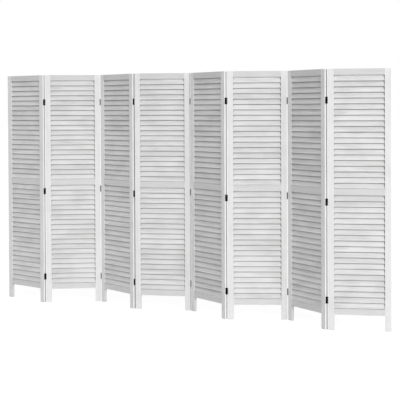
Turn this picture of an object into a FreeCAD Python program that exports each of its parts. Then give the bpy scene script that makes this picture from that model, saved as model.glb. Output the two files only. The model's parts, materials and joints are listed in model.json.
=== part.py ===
import FreeCAD, Part
import math
import os
import Sketcher
from FreeCAD import Placement, Rotation, Vector

# Louvered room divider: eight framed panels of fixed, tilted slats that stand in a zigzag, joined edge to
# edge by seven joints of three butt hinges each. Odd joints (1, 3, 5, 7) are ridges: they point at the
# viewer, and their barrels lie behind the panels. Even joints are valleys, with their barrels in front.
#
# A panel's own frame has its origin at the front left foot: x runs along the panel, y from its front face
# to its back face, z up. The whole screen has its origin at the middle of its footprint, on the floor, with
# X along the line from its first end to its last, and its front towards -Y.

PANELS = 8
JOINTS = PANELS - 1
RAILS_PER_PANEL = 3
SCREWS_PER_LEAF = 2

# Driving sizes, in millimetres and degrees
SIZES = {
    # Panel frame
    "panel_width": 405,
    "panel_height": 1700,
    "frame_thickness": 20,
    "stile_width": 40,
    "rail_height": 40,
    "foot_height": 102,
    "arris_radius": 1,
    # Rail joints
    "tenon_length": 25,
    "tenon_thickness": 8,
    "tenon_shoulder": 6,
    "tenon_clearance": 0.1,
    "mortise_end_clearance": 1,
    # Slats
    "slats_per_opening": 20,
    "slat_width": 40,
    "slat_thickness": 5,
    "slat_edge_radius": 1.2,
    "slat_tilt": 18,
    "housing_depth": 6,
    "housing_clearance": 0.1,
    "slat_end_clearance": 0.5,
    "upper_slat_gap": 0.4,
    "lower_slat_gap": 2,
    # Hinges
    "hinge_length": 45,
    "leaf_width": 16,
    "leaf_thickness": 1.2,
    "knuckles_per_hinge": 5,
    "knuckle_gap": 0.2,
    "barrel_radius": 2.5,
    "barrel_offset": 0.8,
    "barrel_clearance": 0.3,
    "pin_radius": 1.25,
    "pin_clearance": 0.05,
    "pin_chamfer": 0.3,
    "bottom_hinge_rise": 51,
    "ridge_middle_hinge_drop": 48,
    "valley_middle_hinge_drop": 32,
    "top_hinge_inset": 203,
    # Hinge screws
    "screw_length": 14,
    "screw_radius": 1.25,
    "screw_clearance": 0.05,
    "screw_spacing": 26,
    "screw_tip_length": 3,
    "screw_land": 0.1,
    "recess_length": 2.8,
    "recess_width": 0.7,
    "recess_depth": 0.8,
    "pilot_overrun": 2,
    # Reach of every cutter past the face it opens
    "overrun": 1,
    # Turn from each panel to the next as the screen stands, positive to the left seen from above
    "fold_1": 47,
    "fold_2": -56.5,
    "fold_3": 39.5,
    "fold_4": -43.5,
    "fold_5": 52,
    "fold_6": -55.5,
    "fold_7": 48.5,
}

# Sizes worked out from the driving ones, in the order in which they need each other
DERIVED = {
    "opening_width": "sizes.panel_width - 2 * sizes.stile_width",
    "opening_height": "(sizes.panel_height - sizes.foot_height - 3 * sizes.rail_height) / 2",
    "rail_pitch": "derived.opening_height + sizes.rail_height",
    "lower_opening_bottom": "sizes.foot_height + sizes.rail_height",
    "upper_opening_bottom": "derived.lower_opening_bottom + derived.rail_pitch",
    "slat_rise": "sizes.slat_width * cos(sizes.slat_tilt * 1 deg)"
                 " + sizes.slat_thickness * sin(sizes.slat_tilt * 1 deg)",
    "upper_slat_pitch": "(derived.opening_height - derived.slat_rise - 2 * sizes.upper_slat_gap)"
                        " / (sizes.slats_per_opening - 1)",
    "lower_slat_pitch": "(derived.opening_height - derived.slat_rise - 2 * sizes.lower_slat_gap)"
                        " / (sizes.slats_per_opening - 1)",
    "tenon_height": "sizes.rail_height - 2 * sizes.tenon_shoulder",
    "edge_gap": "sizes.barrel_radius + sizes.barrel_clearance",
    "leaf_face": "derived.edge_gap - sizes.leaf_thickness",
    "screw_line": "sizes.barrel_offset + sizes.leaf_width / 2",
    "head_depth": "sizes.leaf_thickness - sizes.screw_land",
    "head_radius": "sizes.screw_radius + derived.head_depth",
    "knuckle_pitch": "(sizes.hinge_length + sizes.knuckle_gap) / sizes.knuckles_per_hinge",
    "knuckle_length": "derived.knuckle_pitch - sizes.knuckle_gap",
    "bottom_hinge": "derived.lower_opening_bottom + sizes.bottom_hinge_rise",
    "middle_rail_bottom": "derived.lower_opening_bottom + derived.opening_height",
    "ridge_middle_hinge": "derived.middle_rail_bottom - sizes.ridge_middle_hinge_drop",
    "valley_middle_hinge": "derived.middle_rail_bottom - sizes.valley_middle_hinge_drop",
    "top_hinge": "sizes.panel_height - sizes.top_hinge_inset",
    "ridge_barrel": "sizes.frame_thickness + sizes.barrel_offset",
    "valley_barrel": "-sizes.barrel_offset",
}

doc = FreeCAD.newDocument("louvered_room_divider")
sizes = doc.addObject("Spreadsheet::Sheet", "sizes")
for row, (alias, value) in enumerate(SIZES.items(), start=1):
    sizes.set(f"A{row}", alias)
    sizes.set(f"B{row}", str(value))
    sizes.setAlias(f"B{row}", alias)
doc.recompute()

derived = doc.addObject("App::VarSet", "derived")
for name, expression in DERIVED.items():
    derived.addProperty("App::PropertyFloat", name)
    derived.setExpression(name, expression.replace("derived.", ""))
doc.recompute()


def joint_kind(joint):
    """A joint's kind by its number: ridges and valleys take turns, and there is none past either end."""
    if not 1 <= joint <= JOINTS:
        return None
    return "ridge" if joint % 2 else "valley"


def hinge_heights(kind):
    """The heights of the three hinges in a joint of one kind."""
    return "derived.bottom_hinge", f"derived.{kind}_middle_hinge", "derived.top_hinge"


def origin_feature(body, role):
    """A body's own origin plane or axis."""
    return next(feature for feature in body.Origin.OriginFeatures if feature.Role == role)


def new_body(name):
    """A body that may hold several separate solids of one kind."""
    body = doc.addObject("PartDesign::Body", name)
    body.Label = name
    body.AllowCompound = True
    return body


def place(thing, frame, x="0", y="0", z="0"):
    """Binds an object's placement to a frame, moved along the frame's own axes."""
    step = f"placement(vector({x}; {y}; {z}); rotation(0; 0; 0))"
    thing.setExpression("Placement", f"{frame}.Placement * {step}")


def new_sketch(body, name, role, x="0", y="0", z="0", turn="0"):
    """A sketch on an origin plane, moved in the plane by x and y and off it by z, and turned in the plane."""
    sketch = body.newObject("Sketcher::SketchObject", name)
    sketch.AttachmentSupport = (origin_feature(body, role), [""])
    sketch.MapMode = "FlatFace"
    sketch.AttachmentOffset = Placement(Vector(), Rotation(Vector(0, 0, 1), 0))
    for axis, expression in zip("xyz", (x, y, z)):
        sketch.setExpression(f"AttachmentOffset.Base.{axis}", expression)
    sketch.setExpression("AttachmentOffset.Rotation.Angle", turn)
    return sketch


def constrain(sketch, kind, references, expression):
    """A sketch dimension bound to an expression."""
    index = sketch.addConstraint(Sketcher.Constraint(kind, *references, sketch.evalExpression(expression)))
    sketch.setExpression(f"Constraints[{index}]", expression)


def draw_polygon(sketch, corners):
    """A closed polygon, each corner's two coordinates bound to expressions."""
    points = [Vector(sketch.evalExpression(x), sketch.evalExpression(y), 0) for x, y in corners]
    first = sketch.GeometryCount
    count = len(points)
    for i in range(count):
        sketch.addGeometry(Part.LineSegment(points[i], points[(i + 1) % count]))
    for i in range(count):
        sketch.addConstraint(Sketcher.Constraint("Coincident", first + i, 2, first + (i + 1) % count, 1))
    for i, (x, y) in enumerate(corners):
        constrain(sketch, "DistanceX", (-1, 1, first + i, 1), x)
        constrain(sketch, "DistanceY", (-1, 1, first + i, 1), y)


def draw_circle(sketch, x, y, radius):
    """A circle, its centre and radius bound to expressions."""
    centre = Vector(sketch.evalExpression(x), sketch.evalExpression(y), 0)
    index = sketch.addGeometry(Part.Circle(centre, Vector(0, 0, 1), sketch.evalExpression(radius)))
    constrain(sketch, "DistanceX", (-1, 1, index, 3), x)
    constrain(sketch, "DistanceY", (-1, 1, index, 3), y)
    constrain(sketch, "Radius", (index,), radius)


def draw_rounded_box(sketch, width, height, radius):
    """A box with rounded corners about the sketch's origin."""
    half_width, half_height = sketch.evalExpression(width) / 2, sketch.evalExpression(height) / 2
    corner = sketch.evalExpression(radius)
    inner_x, inner_y = half_width - corner, half_height - corner
    sides = [
        (Vector(-inner_x, -half_height, 0), Vector(inner_x, -half_height, 0)),
        (Vector(half_width, -inner_y, 0), Vector(half_width, inner_y, 0)),
        (Vector(inner_x, half_height, 0), Vector(-inner_x, half_height, 0)),
        (Vector(-half_width, inner_y, 0), Vector(-half_width, -inner_y, 0)),
    ]
    centres = [(inner_x, -inner_y), (inner_x, inner_y), (-inner_x, inner_y), (-inner_x, -inner_y)]
    for start, end in sides:
        sketch.addGeometry(Part.LineSegment(start, end))
    for i, (x, y) in enumerate(centres):
        circle = Part.Circle(Vector(x, y, 0), Vector(0, 0, 1), corner)
        sketch.addGeometry(Part.ArcOfCircle(circle, (i - 1) * math.pi / 2, i * math.pi / 2))
    for i in range(4):
        sketch.addConstraint(Sketcher.Constraint("Tangent", i, 2, 4 + i, 1))
        sketch.addConstraint(Sketcher.Constraint("Tangent", 4 + i, 2, (i + 1) % 4, 1))
        sketch.addConstraint(Sketcher.Constraint("Vertical" if i % 2 else "Horizontal", i))
    for i in range(1, 4):
        sketch.addConstraint(Sketcher.Constraint("Equal", 4, 4 + i))
    sketch.addConstraint(Sketcher.Constraint("Symmetric", 4, 3, 6, 3, -1, 1))
    constrain(sketch, "Radius", (4,), radius)
    constrain(sketch, "DistanceX", (3, 1, 1, 1), width)
    constrain(sketch, "DistanceY", (0, 1, 2, 1), height)


def add_pad(body, name, sketch, length):
    """A pad along its sketch's normal."""
    pad = body.newObject("PartDesign::Pad", name)
    pad.Profile = sketch
    pad.setExpression("Length", length)
    return pad


def add_pocket(body, name, sketch, depth):
    """A pocket, which cuts against its sketch's normal."""
    pocket = body.newObject("PartDesign::Pocket", name)
    pocket.Profile = sketch
    pocket.setExpression("Length", depth)
    return pocket


def add_turning(body, kind, name, sketch):
    """A full turn of a sketch about its own horizontal axis, as a Revolution or a Groove."""
    turning = body.newObject(f"PartDesign::{kind}", name)
    turning.Profile = sketch
    turning.ReferenceAxis = (sketch, ["H_Axis"])
    return turning


def repeat_upwards(body, name, originals, spacing, count):
    """Repeats features along the body's Z axis."""
    pattern = body.newObject("PartDesign::LinearPattern", name)
    pattern.Originals = originals
    pattern.Direction = (origin_feature(body, "Z_Axis"), [""])
    pattern.Mode = "Spacing"
    pattern.setExpression("Offset", spacing)
    pattern.setExpression("Occurrences", count)
    body.Tip = pattern
    return pattern


def slat_rows():
    """The two rows of slats: name, height of the lowest slat's middle, and pitch."""
    for row in ("lower", "upper"):
        bottom = f"derived.{row}_opening_bottom + sizes.{row}_slat_gap"
        yield row, f"{bottom} + derived.slat_rise / 2", f"derived.{row}_slat_pitch"


def box_corners(half_width, half_height):
    """The corners of a box about the sketch's origin."""
    return [(f"{x} * {half_width}", f"{y} * {half_height}") for x, y in ((-1, -1), (1, -1), (1, 1), (-1, 1))]


def make_stile(name):
    """The left upright of a panel's frame, with slat housings and rail mortises: x = 0 is its inner edge."""
    body = new_body(name)
    middle = "sizes.frame_thickness / 2"
    section = new_sketch(body, f"{name}_section", "XY_Plane", "-sizes.stile_width / 2", middle)
    draw_rounded_box(section, "sizes.stile_width", "sizes.frame_thickness", "sizes.arris_radius")
    add_pad(body, f"{name}_blank", section, "sizes.panel_height")

    lowest = "sizes.foot_height + sizes.rail_height / 2"
    mouth = new_sketch(body, f"{name}_mortise_mouth", "YZ_Plane", middle, lowest)
    half_thickness = "(sizes.tenon_thickness / 2 + sizes.tenon_clearance)"
    half_height = "(derived.tenon_height / 2 + sizes.tenon_clearance)"
    draw_polygon(mouth, box_corners(half_thickness, half_height))
    mortise = add_pocket(body, f"{name}_mortise", mouth, "sizes.tenon_length + sizes.mortise_end_clearance")
    repeat_upwards(body, f"{name}_mortises", [mortise], "derived.rail_pitch", str(RAILS_PER_PANEL))

    tilt = "-sizes.slat_tilt * 1 deg"
    for row, height, pitch in slat_rows():
        mouth = new_sketch(body, f"{name}_{row}_mouth", "YZ_Plane", middle, height, turn=tilt)
        half_thickness = "(sizes.slat_thickness / 2 + sizes.housing_clearance)"
        half_width = "(sizes.slat_width / 2 + sizes.housing_clearance)"
        draw_polygon(mouth, box_corners(half_thickness, half_width))
        housing = add_pocket(body, f"{name}_{row}_housing", mouth, "sizes.housing_depth")
        repeat_upwards(body, f"{name}_{row}_housings", [housing], pitch, "sizes.slats_per_opening")
    return body


def make_drills(name, kind):
    """The pilot holes that one kind of joint needs in a left stile's outer edge, as solid rods."""
    body = new_body(name)
    inward = -1 if kind == "ridge" else 1
    line = f"derived.{kind}_barrel + {inward} * derived.screw_line"
    section = new_sketch(body, f"{name}_section", "YZ_Plane", line, z="-(sizes.stile_width + sizes.overrun)")
    for height in hinge_heights(kind):
        for end in (-1, 1):
            screw_height = f"{height} + {end} * sizes.screw_spacing / 2"
            draw_circle(section, "0", screw_height, "sizes.screw_radius + sizes.screw_clearance")
    depth = "sizes.screw_length - sizes.leaf_thickness + sizes.pilot_overrun"
    add_pad(body, f"{name}_rods", section, f"{depth} + sizes.overrun")
    return body


def mirror(source, name):
    """A right-hand piece: the mirror image of a left-hand one across its inner edge."""
    image = doc.addObject("Part::Mirroring", name)
    image.Source = source
    image.Normal = Vector(1, 0, 0)
    return image


def make_stiles():
    """Both stiles for each kind of joint on their outer edge, and for none, by side and kind."""
    left = make_stile("left_stile")
    stiles = {("left", None): left, ("right", None): mirror(left, "right_stile")}
    for kind in ("ridge", "valley"):
        left_drills = make_drills(f"{kind}_drills", kind)
        drills = {"left": left_drills, "right": mirror(left_drills, f"right_{kind}_drills")}
        for side in ("left", "right"):
            drilled = doc.addObject("Part::Cut", f"{side}_stile_at_{kind}")
            drilled.Base = stiles[side, None]
            drilled.Tool = drills[side]
            stiles[side, kind] = drilled
    return stiles


def make_rail(name):
    """A rail of a panel's frame with a tenon on each end: x = 0 at its left shoulder, z = 0 at its middle."""
    body = new_body(name)
    middle = "sizes.frame_thickness / 2"
    section = new_sketch(body, f"{name}_section", "YZ_Plane", middle)
    draw_rounded_box(section, "sizes.frame_thickness", "sizes.rail_height", "sizes.arris_radius")
    add_pad(body, f"{name}_bar", section, "derived.opening_width")
    section = new_sketch(body, f"{name}_tenon_section", "YZ_Plane", middle, z="-sizes.tenon_length")
    draw_polygon(section, box_corners("sizes.tenon_thickness / 2", "derived.tenon_height / 2"))
    add_pad(body, f"{name}_tenons", section, "derived.opening_width + 2 * sizes.tenon_length")
    return body


def make_slats(name):
    """A panel's fixed slats, tilted with their lower edge to the front, their ends let into both stiles."""
    body = new_body(name)
    reach = "(sizes.housing_depth - sizes.slat_end_clearance)"
    for row, height, pitch in slat_rows():
        section = new_sketch(body, f"{name}_{row}_section", "YZ_Plane", "sizes.frame_thickness / 2", height,
                             f"-{reach}", "-sizes.slat_tilt * 1 deg")
        draw_rounded_box(section, "sizes.slat_thickness", "sizes.slat_width", "sizes.slat_edge_radius")
        slat = add_pad(body, f"{name}_{row}_slat", section, f"derived.opening_width + 2 * {reach}")
        repeat_upwards(body, f"{name}_{row}_row", [slat], pitch, "sizes.slats_per_opening")
    return body


def make_leaf(name, knuckles, first_knuckle):
    """A hinge leaf about its pin's axis, screwed to an edge on its -x side, its plate running towards -y."""
    body = new_body(name)
    low_end = "-sizes.hinge_length / 2"
    back, face = "-derived.edge_gap", "-derived.leaf_face"
    outer, inner = "-(sizes.barrel_offset + sizes.leaf_width)", "-sizes.barrel_radius"
    section = new_sketch(body, f"{name}_plate_section", "XY_Plane", z=low_end)
    draw_polygon(section, [(back, outer), (face, outer), (face, inner), (back, inner)])
    add_pad(body, f"{name}_plate", section, "sizes.hinge_length")

    start = f"{low_end} + {first_knuckle} * derived.knuckle_pitch"
    lap = "-(sizes.barrel_radius + sizes.leaf_thickness)"
    section = new_sketch(body, f"{name}_finger_section", "XY_Plane", z=start)
    draw_polygon(section, [(back, lap), (face, lap), (face, "0"), (back, "0")])
    finger = add_pad(body, f"{name}_finger", section, "derived.knuckle_length")
    section = new_sketch(body, f"{name}_knuckle_section", "XY_Plane", z=start)
    draw_circle(section, "0", "0", "sizes.barrel_radius")
    knuckle = add_pad(body, f"{name}_knuckle", section, "derived.knuckle_length")
    repeat_upwards(body, f"{name}_knuckles", [finger, knuckle], "2 * derived.knuckle_pitch", knuckles)

    section = new_sketch(body, f"{name}_bore_section", "XY_Plane", z="sizes.hinge_length / 2 + sizes.overrun")
    draw_circle(section, "0", "0", "sizes.pin_radius + sizes.pin_clearance")
    add_pocket(body, f"{name}_bore", section, "sizes.hinge_length + 2 * sizes.overrun")

    shank = "(sizes.screw_radius + sizes.screw_clearance)"
    head = "(derived.head_radius + sizes.screw_clearance)"
    below, above = f"{back} - sizes.overrun", f"{face} + sizes.overrun"
    section = new_sketch(body, f"{name}_screw_hole_section", "XY_Plane", y="-derived.screw_line",
                         z="-sizes.screw_spacing / 2")
    draw_polygon(section, [(below, "0"), (above, "0"), (above, head), (face, head),
                           (f"{face} - derived.head_depth", shank), (below, shank)])
    hole = add_turning(body, "Groove", f"{name}_screw_hole", section)
    repeat_upwards(body, f"{name}_screw_holes", [hole], "sizes.screw_spacing", str(SCREWS_PER_LEAF))
    return body


def make_screws(name):
    """The countersunk screws of one leaf, in the leaf's own frame, each with a cross recess."""
    body = new_body(name)
    top, shoulder = "-derived.leaf_face", "-(derived.leaf_face + derived.head_depth)"
    tip = "-(derived.leaf_face + sizes.screw_length)"
    lowest = "-sizes.screw_spacing / 2"
    section = new_sketch(body, f"{name}_section", "XY_Plane", y="-derived.screw_line", z=lowest)
    draw_polygon(section, [(tip, "0"), (top, "0"), (top, "derived.head_radius"),
                           (shoulder, "sizes.screw_radius"),
                           (f"{tip} + sizes.screw_tip_length", "sizes.screw_radius")])
    screw = add_turning(body, "Revolution", f"{name}_screw", section)
    arm, half = "sizes.recess_length / 2", "sizes.recess_width / 2"
    quarter = [(arm, f"-({half})"), (arm, half), (half, half)]
    corners = []
    for _ in range(4):
        corners += quarter
        quarter = [(f"-({y})", x) for x, y in quarter]
    section = new_sketch(body, f"{name}_recess_section", "YZ_Plane", "-derived.screw_line", lowest, top)
    draw_polygon(section, corners)
    recess = add_pocket(body, f"{name}_recess", section, "sizes.recess_depth")
    repeat_upwards(body, f"{name}_pair", [screw, recess], "sizes.screw_spacing", str(SCREWS_PER_LEAF))
    return body


def make_pin(name):
    """A hinge pin about its own axis, with chamfered ends."""
    body = new_body(name)
    section = new_sketch(body, f"{name}_section", "YZ_Plane", turn="90 deg")
    end, edge = "sizes.hinge_length / 2", "(sizes.pin_radius - sizes.pin_chamfer)"
    shoulder = f"({end} - sizes.pin_chamfer)"
    draw_polygon(section, [(f"-{end}", "0"), (end, "0"), (end, edge), (shoulder, "sizes.pin_radius"),
                           (f"-{shoulder}", "sizes.pin_radius"), (f"-{end}", edge)])
    add_turning(body, "Revolution", f"{name}_rod", section)
    return body


def gather(name, frame, copies):
    """One node of separate solids: copies of master bodies, each at its place in a frame.

    copies lists (master, x, y, z, turn), where turn names the axis of a half turn, or is None.
    """
    links = []
    for number, (master, x, y, z, turn) in enumerate(copies, start=1):
        link = doc.addObject("App::Link", f"{name}_copy_{number}")
        link.setLink(master)
        axis = {"x": "1; 0; 0", "y": "0; 1; 0", "z": "0; 0; 1"}[turn or "z"]
        rotation = f"rotation(vector({axis}); {180 if turn else 0})"
        link.setExpression("Placement", f"placement(vector({x}; {y}; {z}); {rotation})")
        links.append(link)
    node = doc.addObject("Part::Compound", name)
    node.Label = name
    node.Links = links
    place(node, frame)
    return node


def hinge_copies(panel, right_master, left_master):
    """Copies of hinge hardware at each hinge of a panel's two edges, turned to suit the barrel's side."""
    right_barrel = "sizes.panel_width + derived.edge_gap"
    edges = (
        (joint_kind(panel), right_master, right_barrel, {"ridge": None, "valley": "x"}),
        (joint_kind(panel - 1), left_master, "-derived.edge_gap", {"ridge": "y", "valley": "z"}),
    )
    for kind, master, x, turns in edges:
        if kind:
            for height in hinge_heights(kind):
                yield master, x, f"derived.{kind}_barrel", height, turns[kind]


def make_frames():
    """The screen's frame and each panel's frame, each panel turned about the joint before it."""
    screen = doc.addObject("Part::LocalCoordinateSystem", "screen_frame")
    for panel in range(1, PANELS + 1):
        frame = doc.addObject("Part::LocalCoordinateSystem", f"panel_{panel}_frame")
        if panel == 1:
            place(frame, "screen_frame")
            continue
        joint = panel - 1
        barrel = f"derived.{joint_kind(joint)}_barrel"
        place(doc.addObject("Part::LocalCoordinateSystem", f"joint_{joint}_frame"), f"panel_{joint}_frame",
              "sizes.panel_width + derived.edge_gap", barrel)
        turn = f"placement(vector(0; 0; 0); rotation(vector(0; 0; 1); sizes.fold_{joint}))"
        step = f"placement(vector(derived.edge_gap; -({barrel}); 0); rotation(0; 0; 0))"
        frame.setExpression("Placement", f"joint_{joint}_frame.Placement * {turn} * {step}")
    return screen


def stand_on_origin(screen, pieces):
    """Lays the line from the screen's first end to its last along X, its footprint's middle at the origin."""
    doc.recompute()
    first, last = (doc.getObject(f"panel_{number}_frame").Placement for number in (1, PANELS))
    line = last.multVec(Vector(sizes.panel_width, 0, 0)) - first.Base
    turn = Rotation(line, Vector(1, 0, 0))
    screen.Placement = Placement(Vector(), turn)
    doc.recompute()
    box = FreeCAD.BoundBox()
    for piece in pieces:
        box.add(piece.Shape.BoundBox)
    screen.Placement = Placement(Vector(-box.Center.x, -box.Center.y, -box.ZMin), turn)
    doc.recompute()


def check(pieces):
    """Stops on a failed object, an empty or invalid shape, or a cut that took nothing away."""
    for thing in doc.Objects:
        if "Invalid" in thing.State or "Error" in thing.State:
            raise RuntimeError(f"{thing.Name} failed: {thing.State}")
        if thing.TypeId in ("PartDesign::Pocket", "PartDesign::Groove"):
            if thing.Shape.Volume >= thing.BaseFeature.Shape.Volume:
                raise RuntimeError(f"{thing.Name} cut nothing")
    for piece in pieces:
        if piece.Shape.isNull() or not piece.Shape.isValid():
            raise RuntimeError(f"{piece.Label} has no valid shape")


screen_frame = make_frames()
outer_leaf = make_leaf("outer_leaf", "(sizes.knuckles_per_hinge + 1) / 2", 0)
inner_leaf = make_leaf("inner_leaf", "(sizes.knuckles_per_hinge - 1) / 2", 1)
leaf_screws = make_screws("leaf_screws")
hinge_pin = make_pin("hinge_pin")

stiles = make_stiles()
rail = make_rail("rail")
slats = make_slats("slats")
rail_copies = []
for step in range(RAILS_PER_PANEL):
    rail_middle = f"sizes.foot_height + sizes.rail_height / 2 + {step} * derived.rail_pitch"
    rail_copies.append((rail, "sizes.stile_width", "0", rail_middle, None))

subparts = []
for number in range(1, PANELS + 1):
    node, panel_frame = f"panel_{number}", f"panel_{number}_frame"
    left_stile, right_stile = stiles["left", joint_kind(number - 1)], stiles["right", joint_kind(number)]
    subparts += [
        gather(f"{node}_left_stile", panel_frame, [(left_stile, "sizes.stile_width", "0", "0", None)]),
        gather(f"{node}_right_stile", panel_frame,
               [(right_stile, "sizes.panel_width - sizes.stile_width", "0", "0", None)]),
        gather(f"{node}_rails", panel_frame, rail_copies),
        gather(f"{node}_slats", panel_frame, [(slats, "sizes.stile_width", "0", "0", None)]),
        gather(f"{node}_hinge_leaves", panel_frame, hinge_copies(number, outer_leaf, inner_leaf)),
        gather(f"{node}_hinge_screws", panel_frame, hinge_copies(number, leaf_screws, leaf_screws)),
    ]
for number in range(1, JOINTS + 1):
    pin_copies = [(hinge_pin, "0", "0", height, None) for height in hinge_heights(joint_kind(number))]
    subparts.append(gather(f"joint_{number}_hinge_pins", f"joint_{number}_frame", pin_copies))

stand_on_origin(screen_frame, subparts)
check(subparts)

os.makedirs("parts", exist_ok=True)
for subpart in subparts:
    subpart.Shape.exportStep(f"parts/{subpart.Label}.step")
for number in range(1, JOINTS + 1):
    pivot = doc.getObject(f"joint_{number}_frame").Placement.Base
    fold = sizes.get(f"fold_{number}")
    print(f"joint {number} {joint_kind(number)} pivot {pivot.x:.4f} {pivot.y:.4f} fold {fold}")
solids = sum(len(subpart.Shape.Solids) for subpart in subparts)
print(f"{len(subparts)} sub-parts, {solids} solids")
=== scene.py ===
"""White-washed louvered room divider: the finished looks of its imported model, in a plain pale studio."""

from __future__ import annotations

import json
import logging
import math
import random
from collections.abc import Iterator
from dataclasses import dataclass, field
from enum import Enum

import bmesh
import bpy
from bmesh.types import BMesh, BMFace, BMVert
from bpy.types import ID, Material, Mesh, Node, NodeOutputs, NodeSocket, NodeTree, Object
from mathutils import Matrix, Vector

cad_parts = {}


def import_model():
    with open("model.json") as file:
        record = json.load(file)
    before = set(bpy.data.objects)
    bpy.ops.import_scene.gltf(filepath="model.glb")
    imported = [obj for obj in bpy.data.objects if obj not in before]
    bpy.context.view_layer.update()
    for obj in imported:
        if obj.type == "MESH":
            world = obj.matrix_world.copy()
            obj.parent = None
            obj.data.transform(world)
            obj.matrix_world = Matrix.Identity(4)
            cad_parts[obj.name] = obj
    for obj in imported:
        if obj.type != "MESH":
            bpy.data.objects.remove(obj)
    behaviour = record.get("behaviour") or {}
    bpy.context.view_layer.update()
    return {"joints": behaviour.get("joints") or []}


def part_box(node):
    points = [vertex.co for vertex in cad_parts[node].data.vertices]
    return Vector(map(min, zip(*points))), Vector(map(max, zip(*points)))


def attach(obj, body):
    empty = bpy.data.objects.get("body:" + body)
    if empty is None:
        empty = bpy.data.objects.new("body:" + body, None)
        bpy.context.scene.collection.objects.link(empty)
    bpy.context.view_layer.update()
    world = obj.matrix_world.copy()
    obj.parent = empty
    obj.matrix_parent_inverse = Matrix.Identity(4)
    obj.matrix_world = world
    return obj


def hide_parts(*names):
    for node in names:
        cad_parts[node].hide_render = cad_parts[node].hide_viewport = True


LOG = logging.getLogger("room_divider")
MM = 0.001
QUARTER_TURN = math.pi / 2
X_AXIS = Vector((1, 0, 0))
Z_AXIS = Vector((0, 0, 1))

Triple = tuple[float, float, float]
Stops = tuple[tuple[float, float], ...]
Outline = list[tuple[float, float]]
WHITE: Triple = (1.0, 1.0, 1.0)
FLOOR_COLOUR: Triple = (0.8, 0.8, 0.8)

# How far a finished piece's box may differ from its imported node's
FIT_TOLERANCE = 0.9 * MM

# How painted shade lies on a slat: a narrow band at its left seam with a stile, a wider one at its right
# seam, where the right stile's shadow falls, and a band where the next slat laps it, for the shade under its
# lip;
# reaches and fades are in metres
CLOSED_SEAM_REACH = 0.0025
CLOSED_SEAM_SHARE = 0.85
OPEN_SEAM_REACH = 0.006
OPEN_SEAM_FADE = 0.004
SEAM_SPREAD = 0.2
LAP_REACH = 0.0085
LAP_FADE = 0.002
LAP_SHARE = 0.46

# How far apart the panels lie in the coordinates of the wash's cloudy patches, so that no two have the same
PATCHES_APART = 3.7

# Where a stile's edge meets the next panel: how far in from the arris it starts, how softly its painted
# highlight and painted shade begin, and the depths that stand for no such edge and for the start of one
MEETING_EASE = 0.0001
MEETING_FADE = 0.0015
OFF_THE_EDGE = -1.0
EDGE_STARTS = -0.015


class JointKind(Enum):
    """Which way two neighbouring panels fold, seen from the front."""

    RIDGE = "ridge"
    VALLEY = "valley"

    @property
    def turn(self) -> int:
        """The sense of the fold seen from above: 1 to the left, -1 to the right."""
        return 1 if self is JointKind.RIDGE else -1

    @classmethod
    def of(cls, joint: int) -> JointKind:
        """A joint's kind by its number, counted from 1: ridges and valleys take turns."""
        return cls.RIDGE if joint % 2 else cls.VALLEY


class Side(Enum):
    """A panel's two upright edges, with the sense of its outward direction along the panel."""

    LEFT = -1
    RIGHT = 1


class Draw(Enum):
    """What a panel draws small random differences for; each has its own seed."""

    LEFT_STILE = 1
    RIGHT_STILE = 2
    RAILS = 3
    SLAT_SEATS = 4
    SLATS = 5
    HINGES = 6
    PINS = 7


@dataclass(frozen=True)
class HingeSizes:
    """A butt hinge of two leaves on a pin, in metres and degrees.

    A knuckle is rolled from a tongue of the leaf. The tongue's shares are parts of its straight lead-in and
    of the barrel's radius, and the crown's shares are parts of a screw head's depth and radius.
    """

    length: float = 0.045
    leaf_width: float = 0.016
    leaf_thickness: float = 0.0012
    knuckles: int = 5
    knuckle_gap: float = 0.0002
    barrel_radius: float = 0.0025
    barrel_offset: float = 0.0008
    edge_gap: float = 0.0028
    roll_steps: int = 22
    roll_end: float = 250.0
    tongue_lead_share: float = 0.45
    tongue_bend_share: float = 0.3
    tongue_rise_share: float = 0.15
    pin_radius: float = 0.00125
    pin_chamfer: float = 0.0003
    screw_spacing: float = 0.026
    screw_radius: float = 0.00125
    screw_length: float = 0.014
    screw_tip: float = 0.003
    screw_clearance: float = 0.00005
    head_land: float = 0.0001
    crown_depth_share: float = 0.2
    crown_radius_share: float = 0.92
    crown_top_share: float = 0.97
    recess_reach: float = 0.0014
    recess_width: float = 0.0007
    recess_depth: float = 0.0008
    eased: float = 0.00012
    eased_from: float = 50.0
    smooth_to: float = 35.0
    round_steps: int = 28
    patina_reach: float = 2.0

    @property
    def face(self) -> float:
        """How far the leaf's outer face stands from the pin's axis."""
        return self.edge_gap - self.leaf_thickness

    @property
    def screw_line(self) -> float:
        """How far the screws stand from the pin's axis, along the leaf."""
        return self.barrel_offset + self.leaf_width / 2

    @property
    def head_depth(self) -> float:
        """The depth of a screw's countersunk head."""
        return self.leaf_thickness - self.head_land

    @property
    def head_radius(self) -> float:
        """The radius of a screw's head at the leaf's face."""
        return self.screw_radius + self.head_depth

    @property
    def knuckle_pitch(self) -> float:
        """The step from one knuckle to the next."""
        return (self.length + self.knuckle_gap) / self.knuckles

    @property
    def knuckle_length(self) -> float:
        """The length of one knuckle."""
        return self.knuckle_pitch - self.knuckle_gap


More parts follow.
